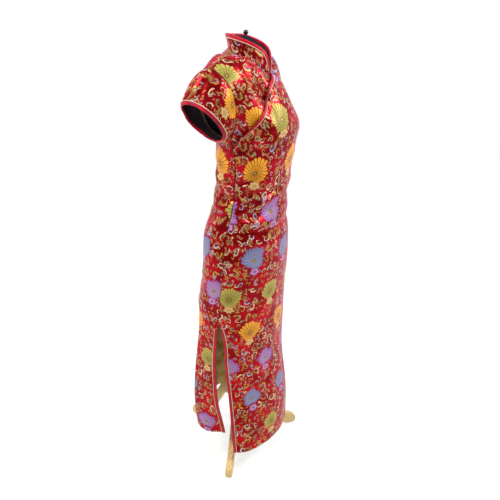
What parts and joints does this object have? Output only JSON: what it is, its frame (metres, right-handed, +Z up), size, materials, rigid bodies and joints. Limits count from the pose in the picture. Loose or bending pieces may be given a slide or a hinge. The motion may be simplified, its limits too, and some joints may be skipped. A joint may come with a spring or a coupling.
{
  "type": "cheongsam dress on dress form",
  "caption": "Full-length fitted dress with a stand collar, cap sleeves, slanted right opening and high side slits, on a limbless form with a wooden tripod.",
  "frame": {"origin": "on the floor, at the middle of the whole object's bounding box", "axes": "+Z up; the dress faces -Y, so the wearer's right is -X"},
  "size_m": [0.4626, 0.3916, 1.3402],
  "materials": {
    "red_brocade": "satin brocade, crimson ground with small woven flowers in gold, blue, green and purple",
    "crimson_binding": "plain crimson satin bias strip, edge stitched",
    "cream_piping": "cream satin cord piping",
    "lilac_knot": "pale lilac silk ball knot",
    "dark_red_knot": "dark red silk ball knot",
    "navy_jersey": "matt near-black stretch jersey over a hard form",
    "dark_knob": "dark lacquered finial",
    "golden_wood": "clear satin varnished pale pine with small knots"
  },
  "bodies": {
    "root": {"front_panel": "red_brocade", "back_panel": "red_brocade", "under_front": "red_brocade", "sleeve_right": "red_brocade", "sleeve_left": "red_brocade", "collar": "red_brocade", "collar_binding": "crimson_binding", "collar_piping": "cream_piping", "opening_binding": "crimson_binding", "opening_piping": "cream_piping", "cuff_right_binding": "crimson_binding", "cuff_right_piping": "cream_piping", "cuff_left_binding": "crimson_binding", "cuff_left_piping": "cream_piping", "slit_right_front_binding": "crimson_binding", "slit_right_front_piping": "cream_piping", "slit_left_front_binding": "crimson_binding", "slit_left_front_piping": "cream_piping", "slit_right_back_binding": "crimson_binding", "slit_right_back_piping": "cream_piping", "slit_left_back_binding": "crimson_binding", "slit_left_back_piping": "cream_piping", "frog_neck_cord": "crimson_binding", "frog_neck_knot": "lilac_knot", "frog_chest_cord": "crimson_binding", "frog_chest_knot": "dark_red_knot", "side_zip": "crimson_binding", "form_body": "navy_jersey", "neck_knob": "dark_knob", "pole": "golden_wood", "hub": "golden_wood", "leg_right": "golden_wood", "leg_front": "golden_wood", "leg_back": "golden_wood"}
  },
  "joints": []
}
